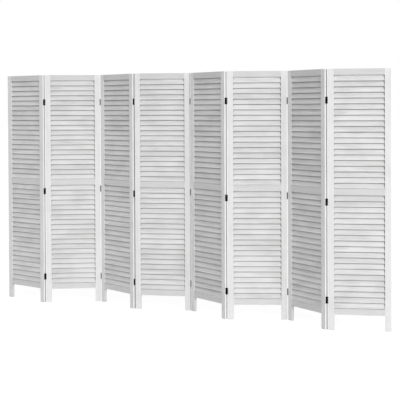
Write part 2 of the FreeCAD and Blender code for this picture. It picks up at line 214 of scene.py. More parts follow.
@dataclass(frozen=True)
class ScreenSizes:
    """The sizes that all panels share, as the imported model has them, in metres and degrees."""

    panel_width: float = 0.405
    panel_height: float = 1.700
    frame_thickness: float = 0.020
    stile_width: float = 0.040
    stile_end_radius: float = 0.0008
    rails_per_panel: int = 3
    rail_height: float = 0.040
    foot_height: float = 0.102
    arris_radius: float = 0.001
    tenon_length: float = 0.025
    tenon_height: float = 0.028
    tenon_thickness: float = 0.008
    slats_per_opening: int = 20
    slat_width: float = 0.040
    slat_thickness: float = 0.005
    slat_edge_radius: float = 0.0012
    slat_tilt: float = 18.0
    slat_reach: float = 0.0055
    slat_tilt_play: float = 0.5
    slat_bow_mm: float = 0.4
    slat_seat_play_mm: float = 0.15
    upper_slat_gap: float = 0.0004
    lower_slat_gap: float = 0.002
    hinge: HingeSizes = HingeSizes()
    bottom_hinge: float = 0.193
    ridge_middle_hinge: float = 0.833
    valley_middle_hinge: float = 0.849
    top_hinge: float = 1.497

    @property
    def opening_width(self) -> float:
        """The clear width between a panel's stiles."""
        return self.panel_width - 2 * self.stile_width

    @property
    def opening_height(self) -> float:
        """The height of each of a panel's two louvered openings."""
        rails = self.rails_per_panel * self.rail_height
        return (self.panel_height - self.foot_height - rails) / (self.rails_per_panel - 1)

    @property
    def middle_plane(self) -> float:
        """How far a panel's middle plane lies behind its front face."""
        return self.frame_thickness / 2

    @property
    def slat_seams(self) -> Seams:
        """Where a slat's two ends enter the stiles and where the next slat laps it: where its painted shade
        lies.
        """
        return Seams(self.slat_reach, self.slat_reach + self.opening_width, self.slat_width / 2 - LAP_REACH)

    def hinge_heights(self, kind: JointKind) -> Triple:
        """The heights of the three hinges in a joint of one kind."""
        middle = self.ridge_middle_hinge if kind is JointKind.RIDGE else self.valley_middle_hinge
        return self.bottom_hinge, middle, self.top_hinge

    def pin_at(self, kind: JointKind, side: Side) -> Vector:
        """Where a joint's pins stand in the frame of the panel on one side of it, seen from above.

        Args:
            kind: The joint's kind.
            side: The panel's edge at that joint.

        Returns:
            The place along the panel and behind its front face.
        """
        gap, offset = self.hinge.edge_gap, self.hinge.barrel_offset
        x = -gap if side is Side.LEFT else self.panel_width + gap
        return Vector((x, self.frame_thickness + offset if kind is JointKind.RIDGE else -offset))


@dataclass(frozen=True)
class PanelPlace:
    """Where a panel stands: its front left foot, and its heading seen from above."""

    number: int
    foot: Vector
    heading: float

    @property
    def matrix(self) -> Matrix:
        """The panel's own frame in the model's frame."""
        return Matrix.Translation((*self.foot, 0.0)) @ Matrix.Rotation(self.heading, 4, "Z")


def panel_places(joints: list[dict], sizes: ScreenSizes) -> list[PanelPlace]:
    """Works out every panel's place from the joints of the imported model.

    Args:
        joints: The model's joints, whose lower limits lay the screen flat.
        sizes: The panels' sizes.

    Returns:
        The places, from the first panel to the last.
    """
    ordered = sorted(joints, key=lambda joint: joint["name"])
    kinds = [JointKind.of(number) for number in range(1, len(ordered) + 1)]
    pins = [Vector(joint["pos_m"][:2]) for joint in ordered]

    headings = [0.0]
    for kind, joint in zip(kinds, ordered):
        headings.append(headings[-1] + kind.turn * -math.radians(joint["range_deg"][0]))
    across = sizes.pin_at(kinds[1], Side.RIGHT) - sizes.pin_at(kinds[0], Side.LEFT)
    second = math.atan2(*reversed(pins[1] - pins[0])) - math.atan2(*reversed(across))
    offset = second - headings[1]

    places = []
    for index, heading in enumerate(headings):
        joint, side = (0, Side.RIGHT) if index == 0 else (index - 1, Side.LEFT)
        turned_pin = Matrix.Rotation(heading + offset, 2) @ sizes.pin_at(kinds[joint], side)
        places.append(PanelPlace(index + 1, pins[joint] - turned_pin, heading + offset))
    return places


def into_mesh(name: str, shape: BMesh) -> Mesh:
    """Keeps a shape as a mesh.

    Args:
        name: The mesh's name.
        shape: The shape, which this uses up.

    Returns:
        The mesh.
    """
    data = bpy.data.meshes.new(name)
    shape.to_mesh(data)
    shape.free()
    return data


def into_scene(name: str, data: ID, place: Matrix | None = None) -> Object:
    """Puts a mesh, a lamp or a camera into the scene.

    Args:
        name: The object's name.
        data: What the object shows.
        place: The object's own frame in the model's frame, if it isn't the same.

    Returns:
        The object.
    """
    thing = bpy.data.objects.new(name, data)
    bpy.context.scene.collection.objects.link(thing)
    if place is not None:
        thing.matrix_world = place
    return thing


def loft(shape: BMesh, rings: list[list[BMVert]]) -> list[BMFace]:
    """Skins a row of closed rings.

    Args:
        shape: The shape that holds the points.
        rings: The rings' points, equally many in each, or a single one where the skin closes to a tip.

    Returns:
        The faces between the rings.
    """
    faces = []
    for ring, following in zip(rings, rings[1:]):
        count = max(len(ring), len(following))
        for i in range(count):
            j = (i + 1) % count
            around = (ring[i % len(ring)], ring[j % len(ring)],
                      following[j % len(following)], following[i % len(following)])
            faces.append(shape.faces.new(tuple(dict.fromkeys(around))))
    return faces


@dataclass(frozen=True)
class SectionPoint:
    """A point of a board's section, and how much of an arris it is, from 0 to 1."""

    across: float
    through: float
    arris: float


@dataclass(frozen=True)
class HingedEdge:
    """A stile's upright edge that meets the next panel, and the kind of their joint."""

    side: Side
    kind: JointKind

    def depth(self, board: Board, point: SectionPoint) -> float:
        """How deep a point lies in the joint, towards the barrels.

        Args:
            board: The stile.
            point: A point of its section.

        Returns:
            The point's distance from the edge's middle line, or a far negative number off the edge.
        """
        if self.side.value * point.across < board.width / 2 - MEETING_EASE:
            return OFF_THE_EDGE
        return self.kind.turn * point.through


@dataclass(frozen=True)
class Board:
    """A straight piece of timber: its grain runs along its own x axis, its width along y.

    The section has a guard line beside each arris and a band beyond it that wear reaches. The least share is
    what the ends' easing leaves of an arris.
    """

    length: float
    width: float
    thickness: float
    arris_radius: float
    end_radius: float = 0.0
    stations: int = 12
    bow: float = 0.0
    arc_steps: int = 5
    end_steps: int = 3
    guard: float = 0.00025
    guard_arris: float = 0.85
    worn_band: float = 0.0022
    least_arris_share: float = 0.2

    def section(self, inset: float) -> list[SectionPoint]:
        """The rounded section, counterclockwise seen from the board's far end.

        Args:
            inset: How far the section is drawn in on all sides.

        Returns:
            The section's points, as many for every inset.
        """
        radius = max(self.arris_radius - inset, self.least_arris_share * self.arris_radius)
        half_width, half_thickness = self.width / 2 - inset, self.thickness / 2 - inset
        beside = ((self.worn_band, 0.0), (self.guard, self.guard_arris))
        points = []
        for corner, (right, up) in enumerate(((1, -1), (1, 1), (-1, 1), (-1, -1))):
            centre = Vector((right * (half_width - radius), up * (half_thickness - radius)))
            start = (corner - 1) * QUARTER_TURN
            along = Vector((math.cos(start), math.sin(start)))
            onward = Vector((-along.y, along.x))
            for run, arris in beside:
                points.append(SectionPoint(*(centre + radius * along - run * onward), arris))
            for step in range(self.arc_steps + 1):
                angle = start + step / self.arc_steps * QUARTER_TURN
                point = centre + radius * Vector((math.cos(angle), math.sin(angle)))
                points.append(SectionPoint(*point, 1.0))
            for run, arris in reversed(beside):
                points.append(SectionPoint(*(centre + radius * onward - run * along), arris))
        return points

    def profile(self) -> Outline:
        """The run of the board from end to end, whose ends are eased where they show.

        Returns:
            The stations along the board, each with its inset.
        """
        if not self.end_radius:
            return [(step / self.stations * self.length, 0.0) for step in range(self.stations + 1)]
        inner = self.length - 2 * self.end_radius
        middle = [(self.end_radius + step / self.stations * inner, 0.0) for step in range(1, self.stations)]
        eased = []
        for step in range(self.end_steps + 1):
            angle = step / self.end_steps * QUARTER_TURN
            eased.append((self.end_radius * (1 - math.sin(angle)), self.end_radius * (1 - math.cos(angle))))
        return eased[::-1] + middle + [(self.length - along, inset) for along, inset in eased]


@dataclass
class Timber:
    """A mesh of separate boards, whose points carry what the wood's finish reads."""

    name: str
    chance: random.Random
    panel: int
    mesh: BMesh = field(default_factory=bmesh.new)

    def __post_init__(self) -> None:
        """Adds the layers that the finishes read."""
        verts = self.mesh.verts.layers
        self.grain = verts.float_vector.new("grain")
        self.arris = verts.float.new("arris")
        self.board = verts.float.new("board")
        self.meeting = verts.float.new("meeting")
        # How much painted shade a board takes where the next board laps it
        self.settled = verts.float.new("settled")
        self.spot = verts.float_vector.new("spot")
        self.end_grain = self.mesh.faces.layers.float.new("end_grain")

    def add(self, board: Board, place: Matrix, meeting: HingedEdge | None = None,
            settled: float = 1.0) -> None:
        """Lofts one board.

        Args:
            board: The board's sizes.
            place: The board's own frame in the panel's frame; its x axis starts at the board's end.
            meeting: The edge that meets the next panel, if it has one.
            settled: How much painted shade lies where the next board laps it.
        """
        number = self.chance.random()
        flip = self.chance.choice((-1.0, 1.0))
        rings = []
        for along, inset in board.profile():
            share = 2 * along / board.length - 1
            sag = board.bow * (1 - share * share)
            ring = []
            for point in board.section(inset):
                vert = self.mesh.verts.new(place @ Vector((along, point.across, point.through + sag)))
                vert[self.grain] = Vector((along, flip * point.across, flip * point.through))
                vert[self.arris] = point.arris
                vert[self.board] = number
                vert[self.meeting] = meeting.depth(board, point) if meeting else OFF_THE_EDGE
                vert[self.settled] = settled
                vert[self.spot] = vert.co + PATCHES_APART * self.panel * X_AXIS
                ring.append(vert)
            rings.append(ring)
        for face in loft(self.mesh, rings):
            face.smooth = True
        for end in (rings[0][::-1], rings[-1]):
            face = self.mesh.faces.new(end)
            face[self.end_grain] = 1.0
            for edge in face.edges:
                edge.smooth = False

    def finish(self, place: Matrix, material: Material) -> Object:
        """Makes the object.

        Args:
            place: The panel's frame in the model's frame.
            material: The finish of all the boards.

        Returns:
            The object, standing in its panel's place.
        """
        data = into_mesh(self.name, self.mesh)
        data.materials.append(material)
        return into_scene(self.name, data, place)


def axes(x: Vector, y: Vector, origin: Vector) -> Matrix:
    """A frame from its origin and its first two axes, which stand square to each other."""
    return Matrix.Translation(origin) @ Matrix((x, y, x.cross(y))).transposed().to_4x4()


@dataclass(frozen=True)
class Noise:
    """A noise about 0.5: how many cells a metre holds, its finer octaves, and how strong those are."""

    cells: Triple
    detail: float
    rough: float = 0.5


@dataclass
class NodeSheet:
    """Adds and wires the nodes of one node tree."""

    tree: NodeTree

    def fill(self, node: Node, inputs: dict[str | int, object]) -> None:
        """Fills or wires a node's inputs.

        Args:
            node: The node.
            inputs: A value, or another node's output, for each named or numbered input; colours have three
                parts.
        """
        for key, value in inputs.items():
            socket = node.inputs[key]
            if isinstance(value, NodeSocket):
                self.tree.links.new(value, socket)
            else:
                socket.default_value = (*value, 1.0) if socket.type == "RGBA" else value

    def node(self, kind: str, inputs: dict[str | int, object], **settings: object) -> Node:
        """Adds a node.

        Args:
            kind: The node's type, without its leading ShaderNode.
            inputs: What its inputs are filled or wired with.
            **settings: The node's own properties.

        Returns:
            The node.
        """
        node = self.tree.nodes.new(f"ShaderNode{kind}")
        for name, value in settings.items():
            setattr(node, name, value)
        self.fill(node, inputs)
        return node

    def add(self, kind: str, inputs: dict[str | int, object], **settings: object) -> NodeOutputs:
        """Adds a node and gives its outputs."""
        return self.node(kind, inputs, **settings).outputs

    def group(self, tree: NodeTree, inputs: dict[str, object]) -> NodeOutputs:
        """Adds a group, and gives its outputs."""
        return self.add("Group", inputs, node_tree=tree)

    def attribute(self, name: str, part: str = "Fac") -> NodeSocket:
        """What the mesh carries under a name."""
        return self.add("Attribute", {}, attribute_name=name)[part]

    def maths(self, operation: str, *values: object, clamp: bool = False) -> NodeSocket:
        """A Math node's result from numbers or outputs, kept between 0 and 1 if that is asked for."""
        return self.add("Math", dict(enumerate(values)), operation=operation, use_clamp=clamp)[0]

    def plus(self, first: object, second: object) -> NodeSocket:
        """A sum."""
        return self.maths("ADD", first, second)

    def minus(self, first: object, second: object, clamp: bool = False) -> NodeSocket:
        """A difference."""
        return self.maths("SUBTRACT", first, second, clamp=clamp)

    def times(self, first: object, second: object, clamp: bool = False) -> NodeSocket:
        """A product."""
        return self.maths("MULTIPLY", first, second, clamp=clamp)

    def line(self, value: object, slope: object, start: object, clamp: bool = False) -> NodeSocket:
        """A value times a slope, added to a start."""
        return self.maths("MULTIPLY_ADD", value, slope, start, clamp=clamp)

    def layered(self, base: object, *layers: tuple[NodeSocket, float]) -> NodeSocket:
        """A value with others laid on it.

        Args:
            base: The lowest value.
            *layers: The other values, each with its share.

        Returns:
            The sum.
        """
        for value, share in layers:
            base = self.line(value, share, base)
        return base

    def scaled(self, vector: NodeSocket, scale: Triple) -> NodeSocket:
        """A vector with each of its parts scaled by its own number."""
        return self.add("VectorMath", {0: vector, 1: scale}, operation="MULTIPLY")[0]

    def noise(self, vector: NodeSocket, noise: Noise) -> NodeSocket:
        """A noise's value.

        Args:
            vector: The place in metres.
            noise: The noise.

        Returns:
            The value, about 0.5.
        """
        inputs = {"Vector": self.scaled(vector, noise.cells), "Scale": 1.0, "Detail": noise.detail,
                  "Roughness": noise.rough}
        return self.add("TexNoise", inputs)["Fac"]

    def ramp(self, value: NodeSocket, stops: Stops) -> NodeSocket:
        """A value bent by a curve of straight runs.

        Args:
            value: The value, from 0 to 1.
            stops: Places along the curve, each with its result.

        Returns:
            The result.
        """
        node = self.node("ValToRGB", {0: value})
        elements = node.color_ramp.elements
        while len(elements) < len(stops):
            elements.new(0.5)
        for element, (place, level) in zip(elements, stops):
            element.position = place
            element.color = (level, level, level, 1.0)
        return node.outputs[0]

    def blend(self, share: object, first: object, second: object) -> NodeSocket:
        """The first colour with a share of the second one mixed in."""
        return self.add("Mix", {0: share, 6: first, 7: second}, data_type="RGBA")[2]


def new_material(name: str) -> tuple[Material, NodeSheet]:
    """Makes a material.

    Args:
        name: The material's name.

    Returns:
        The material, and the sheet of its nodes.
    """
    material = bpy.data.materials.new(name)
    material.use_nodes = True
    return material, NodeSheet(material.node_tree)


class SocketKind(Enum):
    """The kinds of socket that a node group here has."""

    VALUE = "NodeSocketFloat"
    VECTOR = "NodeSocketVector"
    COLOUR = "NodeSocketColor"


VALUE, VECTOR, COLOUR = SocketKind


@dataclass
class GroupMaker:
    """Makes one shader node group with named inputs and outputs."""

    name: str
    inputs: dict[str, SocketKind]
    outputs: dict[str, SocketKind]

    def __post_init__(self) -> None:
        """Makes the group, its sockets and its two end nodes."""
        self.tree = bpy.data.node_groups.new(self.name, "ShaderNodeTree")
        for direction, sockets in (("INPUT", self.inputs), ("OUTPUT", self.outputs)):
            for socket, kind in sockets.items():
                self.tree.interface.new_socket(socket, in_out=direction, socket_type=kind.value)
        self.start = self.tree.nodes.new("NodeGroupInput")
        self.end = self.tree.nodes.new("NodeGroupOutput")
        self.sheet = NodeSheet(self.tree)

    def take(self, name: str) -> NodeSocket:
        """One of the group's inputs, as its inner nodes see it."""
        return self.start.outputs[name]

    def give(self, values: dict[str, NodeSocket]) -> NodeTree:
        """Wires values to the group's outputs, and hands the group over."""
        self.sheet.fill(self.end, values)
        return self.tree


@dataclass(frozen=True)
class TimberFigure:
    """The timber's own figure: growth rings about a wandering pith, small knots and fine fibres.

    Each board has its own place in the figure. A range is the width and the lowest value that a noise is
    brought to, in metres.
    """

    board_places: Triple = (37.0, 11.0, 5.0)
    knot_cells: Triple = (2.6, 17.0, 17.0)
    knot_chance: Stops = ((0.0, 0.0), (0.84, 0.0), (0.88, 1.0))
    knot_tone: Stops = ((0.0, 1.0), (0.1, 0.75), (0.17, 0.16), (0.42, 0.0))
    knot_push: float = 0.006
    drift: Noise = Noise((0.9, 0.0, 0.0), 1.0)
    drift_range: tuple[float, float] = (0.11, -0.055)
    pith_depth: Noise = Noise((0.5, 0.0, 3.0), 0.0)
    pith_depth_range: tuple[float, float] = (0.06, 0.012)
    warp: Noise = Noise((3.5, 16.0, 16.0), 3.0)
    warp_range: tuple[float, float] = (0.012, -0.006)
    ring_tone: Stops = ((0.0, 0.0), (0.45, 0.1), (0.82, 0.8), (0.92, 1.0), (1.0, 0.0))
    fibres: Noise = Noise((14.0, 780.0, 780.0), 4.0, 0.6)

    def make(self) -> NodeTree:
        """Makes the node group.

        Returns:
            The group.
        """
        maker = GroupMaker(
            "timber_figure",
            {"Grain": VECTOR, "Board": VALUE, "Ring Spacing": VALUE, "Knots": VALUE},
            {"Place": VECTOR, "Latewood": VALUE, "Fibre": VALUE, "Knot": VALUE},
        )
        sheet, take = maker.sheet, maker.take
        own = sheet.scaled(take("Board"), self.board_places)
        place = sheet.add("VectorMath", {0: take("Grain"), 1: own}, operation="ADD")[0]
        parts = sheet.add("SeparateXYZ", {0: take("Grain")})

        cells = sheet.add("TexVoronoi", {"Vector": sheet.scaled(place, self.knot_cells), "Scale": 1.0})
        chosen = sheet.ramp(sheet.add("SeparateColor", {0: cells["Color"]})[0], self.knot_chance)
        knot = sheet.times(sheet.ramp(cells["Distance"], self.knot_tone), sheet.times(chosen, take("Knots")))

        sideways = sheet.line(sheet.noise(place, self.drift), *self.drift_range)
        depth = sheet.line(sheet.noise(place, self.pith_depth), *self.pith_depth_range)
        warp = sheet.line(sheet.noise(place, self.warp), *self.warp_range)
        across = sheet.plus(sheet.plus(parts[1], sideways), warp)
        through = sheet.plus(parts[2], depth)
        radius = sheet.maths("SQRT", sheet.line(through, through, sheet.times(across, across)))
        radius = sheet.line(knot, self.knot_push, radius)
        rings = sheet.maths("FRACT", sheet.maths("DIVIDE", radius, take("Ring Spacing")))
        return maker.give({"Place": place, "Latewood": sheet.ramp(rings, self.ring_tone),
                           "Fibre": sheet.noise(place, self.fibres), "Knot": knot})


@dataclass(frozen=True)
class ChalkWash:
    """A thin chalky coat: brushed on along the grain, thin on hard latewood and over fibres.

    A share says how much of the timber shows where its layer is full.
    """

    brush: Noise = Noise((3.2, 95.0, 95.0), 3.0, 0.55)
    brush_tone: Stops = ((0.28, 0.0), (0.72, 1.0))
    cloud: Noise = Noise((5.0, 22.0, 22.0), 2.0)
    bristle: Noise = Noise((9.0, 420.0, 420.0), 2.0)
    soft_tone: Stops = ((0.3, 0.0), (0.7, 1.0))
    fibre_tone: Stops = ((0.35, 1.0), (0.62, 0.0))
    patch: Noise = Noise((5.0, 5.0, 9.0), 3.0)
    patch_tone: Stops = ((0.42, 0.0), (0.66, 1.0))
    latewood_share: float = 0.55
    fibre_share: float = 0.35
    brush_share: float = 0.55
    cloud_share: float = 0.45
    bristle_share: float = 0.22
    knot_share: float = 0.5
    board_spread: float = 91.7

    def make(self) -> NodeTree:
        """Makes the node group.

        Returns:
            The group.
        """
        maker = GroupMaker(
            "chalk_wash",
            {"Place": VECTOR, "Board": VALUE, "Latewood": VALUE, "Fibre": VALUE, "Knot": VALUE,
             "Wash": COLOUR, "Timber": COLOUR, "Cover": VALUE, "Grain Show": VALUE, "Board Change": VALUE,
             "Spot": VECTOR, "Patches": VALUE},
            {"Colour": COLOUR, "Cover": VALUE},
        )
        sheet, take = maker.sheet, maker.take
        place = take("Place")
        shown = sheet.layered(
            sheet.times(take("Latewood"), self.latewood_share),
            (sheet.ramp(take("Fibre"), self.fibre_tone), self.fibre_share),
            (sheet.ramp(sheet.noise(place, self.brush), self.brush_tone), self.brush_share),
            (sheet.ramp(sheet.noise(place, self.cloud), self.soft_tone), self.cloud_share),
            (sheet.ramp(sheet.noise(place, self.bristle), self.soft_tone), self.bristle_share),
        )
        patch = sheet.ramp(sheet.noise(take("Spot"), self.patch), self.patch_tone)
        shown = sheet.layered(sheet.times(shown, take("Grain Show")), (take("Knot"), self.knot_share),
                              (patch, take("Patches")))
        own = sheet.maths("FRACT", sheet.times(take("Board"), self.board_spread))
        own = sheet.times(sheet.minus(own, 0.5), take("Board Change"))
        cover = sheet.minus(sheet.minus(take("Cover"), own), shown, clamp=True)
        return maker.give({"Colour": sheet.blend(cover, take("Timber"), take("Wash")), "Cover": cover})


@dataclass(frozen=True)
class RubbedArris:
    """Where hands and cloths have rubbed the coat thin: broken patches along the arrises."""

    broken: Noise = Noise((21.0, 240.0, 240.0), 4.0, 0.65)
    contrast: float = 5.0

    def make(self) -> NodeTree:
        """Makes the node group.

        Returns:
            The group.
        """
        sockets = {"Place": VECTOR, "Arris": VALUE, "Amount": VALUE}
        maker = GroupMaker("rubbed_arris", sockets, {"Mask": VALUE})
        sheet, take = maker.sheet, maker.take
        gaps = sheet.minus(sheet.noise(take("Place"), self.broken), 1.0)
        mask = sheet.plus(gaps, sheet.times(take("Arris"), take("Amount")))
        return maker.give({"Mask": sheet.times(mask, self.contrast, clamp=True)})


@dataclass(frozen=True)
class EndGrain:
    """End grain: thirsty open pores that take the coat unevenly."""

    pores: Noise = Noise((900.0, 900.0, 900.0), 3.0, 0.7)
    pore_tone: Stops = ((0.4, 1.0), (0.58, 0.0))
    pore_share: float = 0.35
    bare_share: float = 0.1

    def make(self) -> NodeTree:
        """Makes the node group.

        Returns:
            The group.
        """
        maker = GroupMaker("end_grain", {"Place": VECTOR, "Colour": COLOUR, "Pore": COLOUR, "End": VALUE},
                           {"Colour": COLOUR, "Pores": VALUE})
        sheet, take = maker.sheet, maker.take
        pores = sheet.ramp(sheet.noise(take("Place"), self.pores), self.pore_tone)
        share = sheet.times(sheet.line(pores, self.pore_share, self.bare_share), take("End"))
        return maker.give({"Colour": sheet.blend(share, take("Colour"), take("Pore")),
                           "Pores": sheet.times(pores, take("End"))})


def make_painted_seam_shade() -> NodeTree:
    """Painted shade on a slat, for the stiles' shadows at its seams and the shade under the next slat's lap.

    Returns:
        The node group.
    """
    maker = GroupMaker(
        "painted_seam_shade",
        {"Grain": VECTOR, "Closed Seam": VALUE, "Open Seam": VALUE, "Lap": VALUE, "Settled": VALUE},
        {"Mask": VALUE},
    )
    sheet, take = maker.sheet, maker.take
    parts = sheet.add("SeparateXYZ", {0: take("Grain")})
    lapped_way = sheet.times(parts[1], sheet.maths("SIGN", parts[2]))
    # Painted shade at the seams, standing in for the stiles' shadows on the slat's ends
    past_closed = sheet.line(lapped_way, SEAM_SPREAD, sheet.minus(take("Closed Seam"), parts[0]))
    closed = sheet.line(past_closed, 1 / CLOSED_SEAM_REACH, 1.0, clamp=True)
    past_open = sheet.line(lapped_way, SEAM_SPREAD, sheet.minus(parts[0], take("Open Seam")))
    opened = sheet.line(past_open, 1 / OPEN_SEAM_FADE, OPEN_SEAM_REACH / OPEN_SEAM_FADE, clamp=True)
    # Painted shade where the next slat laps this one, standing in for the shade under its lip
    lapped = sheet.times(sheet.minus(lapped_way, take("Lap")), 1 / LAP_FADE, clamp=True)
    lapped = sheet.times(sheet.times(lapped, LAP_SHARE), take("Settled"))
    seams = sheet.line(closed, CLOSED_SEAM_SHARE, opened)
    return maker.give({"Mask": sheet.maths("MAXIMUM", seams, lapped)})


def make_meeting_edge() -> NodeTree:
    """The masks of a stile's meeting edge: all of it, for a painted highlight, and its depth, for painted
    shade.

    Returns:
        The node group.
    """
    maker = GroupMaker("meeting_edge", {"Depth": VALUE, "Shade From": VALUE}, {"Edge": VALUE, "Dust": VALUE})
    sheet, take = maker.sheet, maker.take
    deep = sheet.minus(take("Depth"), take("Shade From"))
    return maker.give({
        "Edge": sheet.line(take("Depth"), 1 / MEETING_FADE, -EDGE_STARTS / MEETING_FADE, clamp=True),
        "Dust": sheet.times(deep, 1 / MEETING_FADE, clamp=True)})


class WoodEffects:
    """The node groups that every wood finish here shares."""

    def __init__(self) -> None:
        """Makes the groups."""
        self.figure = TimberFigure().make()
        self.wash = ChalkWash().make()
        self.wear = RubbedArris().make()
        self.ends = EndGrain().make()
        self.seams = make_painted_seam_shade()
        self.edges = make_meeting_edge()


@dataclass(frozen=True)
class MeetingEdge:
    """Edges between two panels: a painted highlight for the light on them, painted shade towards the hinge.
    """

    # The painted highlight's colour and share, standing in for the light on the edge
    coat: Triple = (0.93, 0.93, 0.93)
    painted_light_share: float = 0.75
    # Painted shade from this depth towards the hinge, its share and its colour
    shade_from: float = 0.0035
    dust: float = 0.92
    colour: Triple = (0.05, 0.047, 0.045)

    def layers(self, sheet: NodeSheet, effects: WoodEffects) -> list[tuple[NodeSocket, Triple]]:
        """What is painted on the edge: a highlight, and over it shade.

        Args:
            sheet: The sheet of the wood's nodes.
            effects: The node groups of the wood finishes.

        Returns:
            Each layer's share and its colour.
        """
        masks = sheet.group(effects.edges, {"Depth": sheet.attribute("meeting"),
                                            "Shade From": self.shade_from})
        return [(sheet.times(masks["Edge"], self.painted_light_share), self.coat),
                (sheet.times(masks["Dust"], self.dust), self.colour)]


@dataclass(frozen=True)
class Seams:
    """Where painted shade lies on a slat, in metres from its start and from its middle line, and how much of
    it.
    """

    closed: float
    opened: float
    lap: float
    # The share and colour of the painted shade
    dust: float = 0.78
    colour: Triple = (0.12, 0.119, 0.118)

    def layers(self, sheet: NodeSheet, effects: WoodEffects) -> list[tuple[NodeSocket, Triple]]:
        """What is painted on the slat: shade.

        Args:
            sheet: The sheet of the wood's nodes.
            effects: The node groups of the wood finishes.

        Returns:
            The painted shade's share and its colour.
        """
        mask = sheet.group(effects.seams, {
            "Grain": sheet.attribute("grain", "Vector"), "Closed Seam": self.closed, "Open Seam": self.opened,
            "Lap": self.lap, "Settled": sheet.attribute("settled")})["Mask"]
        return [(sheet.times(mask, self.dust, clamp=True), self.colour)]


@dataclass(frozen=True)
class WashedWood:
    """White-washed timber with a matt face.

    The heights say what each layer adds to the bump, and the last two roughnesses what it adds to the
    roughness where it is full.
    """

    name: str
    wash: Triple
    timber: Triple = (0.412, 0.41, 0.407)
    ring_spacing: float = 0.0048
    cover: float = 1.12
    grain_show: float = 0.22
    board_change: float = 0.10
    patches: float = 0.1
    knots: float = 0.35
    rubbed: float = 0.62
    rubbed_bare: float = 0.4
    specular: float = 0.28
    latewood_height: float = -0.35
    coat_height: float = 0.5
    pore_height: float = -0.8
    bump_strength: float = 0.35
    bump_distance: float = 0.00035
    roughness: float = 0.62
    coat_roughness: float = 0.16
    rubbed_roughness: float = -0.14
    # Painted shade, and on stiles a painted highlight, laid over the wood's colour
    dust: Seams | MeetingEdge | None = None

    def make(self, effects: WoodEffects) -> Material:
        """Makes the material.

        Args:
            effects: The node groups of the wood finishes.

        Returns:
            The material.
        """
        material, sheet = new_material(self.name)
        board = sheet.attribute("board")
        figure = sheet.group(effects.figure, {"Grain": sheet.attribute("grain", "Vector"), "Board": board,
                                              "Ring Spacing": self.ring_spacing, "Knots": self.knots})
        coat = sheet.group(effects.wash, {
            "Place": figure["Place"], "Board": board, "Latewood": figure["Latewood"],
            "Fibre": figure["Fibre"], "Knot": figure["Knot"], "Wash": self.wash, "Timber": self.timber,
            "Cover": self.cover, "Grain Show": self.grain_show, "Board Change": self.board_change,
            "Spot": sheet.attribute("spot", "Vector"), "Patches": self.patches})
        wear = sheet.group(effects.wear, {"Place": figure["Place"], "Arris": sheet.attribute("arris"),
                                          "Amount": self.rubbed})["Mask"]
        rubbed = sheet.blend(sheet.times(wear, self.rubbed_bare), coat["Colour"], self.timber)
        ends = sheet.group(effects.ends, {"Place": figure["Place"], "Colour": rubbed, "Pore": self.timber,
                                          "End": sheet.attribute("end_grain")})

        height = sheet.layered(figure["Fibre"], (figure["Latewood"], self.latewood_height),
                               (coat["Cover"], self.coat_height), (ends["Pores"], self.pore_height))
        bump = sheet.add("Bump", {"Height": height, "Strength": self.bump_strength,
                                  "Distance": self.bump_distance})
        rough = sheet.layered(self.roughness - self.coat_roughness / 2, (coat["Cover"], self.coat_roughness),
                              (wear, self.rubbed_roughness))
        colour = ends["Colour"]
        # Lays the painted shade, and on stiles the painted highlight, over the colour
        for share, laid in self.dust.layers(sheet, effects) if self.dust else ():
            colour = sheet.blend(share, colour, laid)
        sheet.fill(material.node_tree.nodes["Principled BSDF"], {
            "Base Color": colour, "Roughness": rough, "Normal": bump[0], "Specular IOR Level": self.specular})
        return material


@dataclass(frozen=True)
class DarkPatina:
    """A dark patina: cloudy, finely scratched, and worn brighter where it is thin."""

    cloud: Noise = Noise((160.0, 160.0, 160.0), 4.0, 0.6)
    worn_tone: Stops = ((0.5, 0.0), (0.75, 1.0))
    scratches: Noise = Noise((2600.0, 2600.0, 110.0), 2.0)
    scratch_tone: Stops = ((0.6, 0.0), (0.72, 1.0))
    scratch_share: float = 0.5
    scratch_height: float = -0.6
    grit: Noise = Noise((1500.0, 1500.0, 1500.0), 2.0)
    cloud_roughness: float = 0.35
    worn_roughness: float = -0.12

    def make(self) -> NodeTree:
        """Makes the node group.

        Returns:
            The group.
        """
        maker = GroupMaker(
            "dark_patina",
            {"Place": VECTOR, "Patina": COLOUR, "Metal": COLOUR, "Worn": VALUE, "Roughness": VALUE},
            {"Colour": COLOUR, "Roughness": VALUE, "Height": VALUE},
        )
        sheet, take = maker.sheet, maker.take
        cloudy = sheet.noise(take("Place"), self.cloud)
        scratches = sheet.ramp(sheet.noise(take("Place"), self.scratches), self.scratch_tone)
        worn = sheet.line(scratches, self.scratch_share, sheet.ramp(cloudy, self.worn_tone))
        worn = sheet.times(worn, take("Worn"), clamp=True)
        rough = sheet.line(sheet.minus(cloudy, 0.5), self.cloud_roughness, take("Roughness"))
        return maker.give({
            "Colour": sheet.blend(worn, take("Patina"), take("Metal")),
            "Roughness": sheet.line(worn, self.worn_roughness, rough, clamp=True),
            "Height": sheet.line(scratches, self.scratch_height, sheet.noise(take("Place"), self.grit))})


@dataclass(frozen=True)
class DarkMetal:
    """Hinge metal under a dark patina."""

    name: str
    patina: Triple
    metal: Triple
    worn: float
    roughness: float
    metallic: float
    bump_strength: float = 0.25
    bump_distance: float = 0.00008

    def make(self, patina_group: NodeTree) -> Material:
        """Makes the material.

        Args:
            patina_group: The patina's node group.

        Returns:
            The material.
        """
        material, sheet = new_material(self.name)
        face = sheet.group(patina_group, {
            "Place": sheet.attribute("grain", "Vector"), "Patina": self.patina, "Metal": self.metal,
            "Worn": self.worn, "Roughness": self.roughness})
        bump = sheet.add("Bump", {"Height": face["Height"], "Strength": self.bump_strength,
                                  "Distance": self.bump_distance})
        sheet.fill(material.node_tree.nodes["Principled BSDF"], {
            "Base Color": face["Colour"], "Roughness": face["Roughness"], "Normal": bump[0],
            "Metallic": self.metallic})
        return material


def arc(radius: float, angles: list[float]) -> Outline:
    """Points on a circle about the origin."""
    return [(radius * math.cos(angle), radius * math.sin(angle)) for angle in angles]


